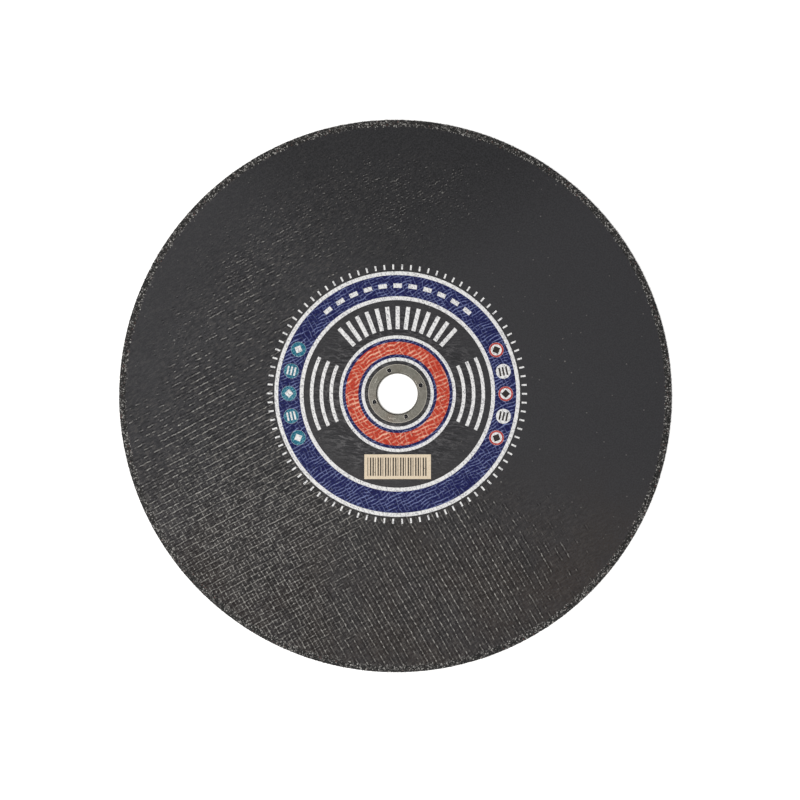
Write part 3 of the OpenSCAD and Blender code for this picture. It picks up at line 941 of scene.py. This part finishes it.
# raised burrs around the four punch marks, and rows of short stamped strokes
punchBurrs = {
    "radius": 15.5, "angles": (20, 110, 200, 290), "reach": 1.50, "band": 0.24, "rise": 0.08, "steps": 24,
    "square": 0.92, "squareness": 0.6,
    "section": ((-1, -0.05), (-0.35, 0.8), (0.2, 1.0), (1, -0.05)),    # shares of band and rise
}
stampedStrokes = {
    "radius": 16.2, "rows": ((142, 158), (250, 266)), "spacing": 2.3, "halfLength": (0.45, 0.825),
    "width": 0.26, "rise": 0.05, "sink": 0.02, "bevel": 0.07, "seed": 3,
}


def ringMaterial():
    look = {
        "steel": tone(104, 102, 97), "brown": tone(93, 86, 79), "green": tone(82, 84, 77),
        # the edge colour is wear with a painted highlight, and the pit colour is painted shade in the punch
        # marks
        "edge": tone(158, 154, 146), "spot": tone(60, 58, 54), "pit": tone(14, 14, 20),
        "outerWear": (0.55, 0.10), "lipWear": (0.75, 0.25), "pitReach": (1.45, 1.20),
        "rough": (0.36, 0.56), "fineBump": 0.03, "patchBump": 0.06,
    }
    material, tree, shader = newMaterial("platedSteel")
    place = millimetres(tree)
    patches = blotchesAt(tree, place, size=7.0, fine=4.0, contrast=2.4)
    stains = blotchesAt(tree, place, size=16.0, fine=2.0, contrast=2.6)
    fine = blotchesAt(tree, place, size=0.7, fine=3.0, contrast=2.0)
    spots = flecksAt(tree, place, spacing=1.6, share=0.14, reach=0.22)

    # rubbed bright along the outer edge and the lip of the bore, with a painted highlight there as well
    reach = flatReach(tree, place)
    outerEdge = remap(tree, reach, *(flangeRadius - width for width in look["outerWear"]))
    innerEdge = remap(tree, reach, *(arborRadius + width for width in look["lipWear"]))
    rubbing = calc(tree, "MULTIPLY", remap(tree, fine, 0.15, 0.7, 0.35, 1.0), 0.8)
    worn = calc(tree, "MULTIPLY", calc(tree, "MAXIMUM", outerEdge, innerEdge), rubbing)

    # painted shade in and around the four punch marks a quarter turn apart
    parts = turnFlat(tree, place, math.radians(punchBurrs["angles"][0]))[1]
    across = calc(tree, "ABSOLUTE", parts["X"])
    along = calc(tree, "ABSOLUTE", parts["Y"])
    out = calc(tree, "SUBTRACT", calc(tree, "MAXIMUM", across, along), punchBurrs["radius"])
    side = calc(tree, "MINIMUM", across, along)
    squares = calc(tree, "ADD", calc(tree, "POWER", out, 2.0), calc(tree, "POWER", side, 2.0))
    punchShadeMask = remap(tree, calc(tree, "SQRT", squares), *look["pitReach"])
    colour = layered(
        tree, look["brown"], (stains, look["green"]), (patches, look["steel"]),
        (calc(tree, "MULTIPLY", spots, 0.5), look["spot"]), (worn, look["edge"]), (punchShadeMask, look["pit"]))
    feed(tree, shader["Base Color"], colour)
    feed(tree, shader["Roughness"], remap(tree, fine, 0.0, 1.0, *look["rough"]))
    shader["Metallic"].default_value = 1.0
    relief = calc(
        tree, "ADD", calc(tree, "MULTIPLY", fine, look["fineBump"]),
        calc(tree, "MULTIPLY", patches, look["patchBump"]))
    addBump(tree, shader, relief, strength=0.5)
    return material


def burrMaterial():
    look = {"bright": tone(196, 194, 188), "dull": tone(132, 128, 120), "rough": (0.30, 0.45)}
    material, tree, shader = newMaterial("rubbedSteel")
    place = millimetres(tree)
    fine = blotchesAt(tree, place, size=0.6, fine=3.0, contrast=2.0)
    feed(tree, shader["Base Color"], mixColours(tree, fine, look["dull"], look["bright"]))
    feed(tree, shader["Roughness"], remap(tree, fine, 0.0, 1.0, *look["rough"]))
    shader["Metallic"].default_value = 1.0
    return material


def makeBurrs(material):
    burr = punchBurrs
    sides = len(burr["section"])
    points = []
    faces = []
    for mark in burr["angles"]:
        turn = math.radians(mark)
        middle = Vector((burr["radius"] * math.cos(turn), burr["radius"] * math.sin(turn), 0))
        first = len(points)
        for i in range(burr["steps"]):
            angle = fullTurn * i / burr["steps"]
            rounded = max(abs(math.cos(angle)), abs(math.sin(angle))) ** burr["squareness"]
            heading = Vector((math.cos(angle + turn), math.sin(angle + turn), 0)) * burr["square"] / rounded
            for out, up in burr["section"]:
                spot = middle + heading * (burr["reach"] + out * burr["band"])
                points.append((spot.x, spot.y, ringTop + up * burr["rise"]))
        for i in range(burr["steps"]):
            here = first + i * sides
            after = first + (i + 1) % burr["steps"] * sides
            for j in range(sides):
                k = (j + 1) % sides
                faces.append((here + j, after + j, after + k, here + k))
    return meshPiece("arborRing.burrs", points, faces, material)


def makeStrokes(material):
    stamp = stampedStrokes
    rng = np.random.default_rng(stamp["seed"])
    points = []
    faces = []
    for start, end in stamp["rows"]:
        for mark in np.arange(start, end + 0.1, stamp["spacing"]):
            turn = math.radians(mark)
            out = np.array([math.cos(turn), math.sin(turn)])
            side = np.array([-out[1], out[0]])
            half = rng.uniform(*stamp["halfLength"])
            first = len(points)
            for level, inset in ((-stamp["sink"], 0.0), (stamp["rise"], stamp["bevel"])):
                for alongOut, alongSide in ((-1, -1), (1, -1), (1, 1), (-1, 1)):
                    spot = out * (stamp["radius"] + alongOut * (half - inset))
                    spot = spot + side * alongSide * (stamp["width"] / 2 - inset)
                    points.append((spot[0], spot[1], ringTop + level))
            lower = [first + i for i in range(4)]
            upper = [first + 4 + i for i in range(4)]
            faces += [lower[::-1], upper]
            faces += [(lower[i - 1], lower[i], upper[i], upper[i - 1]) for i in range(4)]
    return meshPiece("arborRing.strokes", points, faces, material, smooth=False)


dress("arbor_ring", ringMaterial())
rubbed = burrMaterial()
settle(makeBurrs(rubbed), "ring_steel")
settle(makeStrokes(rubbed), "ring_steel")

# floor and light, with lengths in metres
studio = {
    "floorSize": 6.0, "floorColour": (0.86, 0.86, 0.86, 1.0), "floorLift": 0.40,
    "worldMiddle": 0.40, "worldLean": 0.25, "worldSide": (-0.90, -0.42, 0.0),
    "keyPlace": (-0.29, -0.18, 1.20), "keySize": 0.45, "keyPower": 10.0, "keyColour": (1.0, 0.98, 0.95),
}


def makeFloor():
    half = studio["floorSize"] / 2
    mesh = bpy.data.meshes.new("floor")
    corners = [(-half, -half, 0), (half, -half, 0), (half, half, 0), (-half, half, 0)]
    mesh.from_pydata(corners, [], [(0, 1, 2, 3)])
    floor = bpy.data.objects.new("floor", mesh)
    bpy.context.scene.collection.objects.link(floor)
    material = bpy.data.materials.new("paleFloor")
    material.use_nodes = True
    tree = material.node_tree
    tree.nodes.clear()
    path = newNode(tree, "ShaderNodeLightPath").outputs
    rays = [path["Is " + kind + " Ray"] for kind in ("Camera", "Glossy", "Transmission")]
    seen = calc(tree, "MAXIMUM", *rays)
    glow = calc(tree, "MULTIPLY", seen, studio["floorLift"])
    paint = newNode(tree, "ShaderNodeBsdfDiffuse", {"Color": studio["floorColour"]})
    lift = newNode(tree, "ShaderNodeEmission", {"Strength": glow})
    both = newNode(tree, "ShaderNodeAddShader", {0: paint.outputs["BSDF"], 1: lift.outputs["Emission"]})
    newNode(tree, "ShaderNodeOutputMaterial", {"Surface": both.outputs["Shader"]})
    mesh.materials.append(material)


def aim(thing, place, target, up):
    # looks from a place at a target with a given upward direction
    forward = (Vector(target) - Vector(place)).normalized()
    right = forward.cross(Vector(up)).normalized()
    top = right.cross(forward)
    turn = Matrix((right, top, -forward)).transposed().to_4x4()
    thing.matrix_world = Matrix.Translation(place) @ turn


def makeLight():
    world = bpy.data.worlds.new("studio")
    bpy.context.scene.world = world
    world.use_nodes = True
    tree = world.node_tree
    sky = newNode(tree, "ShaderNodeTexCoord").outputs["Generated"]
    side = newNode(tree, "ShaderNodeVectorMath", {0: sky, 1: studio["worldSide"]}, operation="DOT_PRODUCT")
    low = studio["worldMiddle"] - studio["worldLean"]
    high = studio["worldMiddle"] + studio["worldLean"]
    glow = tree.nodes["Background"].inputs
    feed(tree, glow["Strength"], remap(tree, side.outputs["Value"], -1.0, 1.0, low, high, "LINEAR"))
    glow["Color"].default_value = (1.0, 1.0, 1.0, 1.0)
    lamp = bpy.data.lights.new("key", "AREA")
    lamp.shape = "DISK"
    lamp.size = studio["keySize"]
    lamp.energy = studio["keyPower"]
    lamp.color = studio["keyColour"]
    key = bpy.data.objects.new("key", lamp)
    bpy.context.scene.collection.objects.link(key)
    aim(key, studio["keyPlace"], (0, 0, 0), (0, 1, 0))


# the photograph's view: the wheel's middle, in pixels, lands a few of them off the picture's middle
photoView = {
    "imageSize": 800, "wheelMiddle": (397.64, 393.6), "wheelRadiusPixels": 276.85,
    "distance": 840.0, "tilt": math.radians(3.34), "farSide": math.radians(53.0), "sensor": 36.0,
}


def makeCamera():
    view = photoView
    lens = bpy.data.cameras.new("photoView")
    camera = bpy.data.objects.new("photoView", lens)
    bpy.context.scene.collection.objects.link(camera)
    focalPixels = view["wheelRadiusPixels"] * view["distance"] / wheelRadius
    lens.sensor_width = view["sensor"]
    lens.lens = view["sensor"] * focalPixels / view["imageSize"]
    lens.clip_start = 0.01
    lens.clip_end = 50
    middle = Vector((0, 0, faceTop))
    lean = math.sin(view["tilt"])
    far = view["farSide"]
    back = Vector((-lean * math.cos(far), -lean * math.sin(far), math.cos(view["tilt"])))
    perPixel = wheelRadius / view["wheelRadiusPixels"]
    half = view["imageSize"] / 2
    right, down = view["wheelMiddle"]
    target = middle + Vector((half - right, down - half, 0)) * perPixel
    aim(camera, (middle + back * view["distance"]) * mm, target * mm, (0, 1, 0))
    bpy.context.scene.camera = camera


makeFloor()
makeLight()
makeCamera()
bpy.context.scene.view_settings.view_transform = "Standard"
print("studio ready")
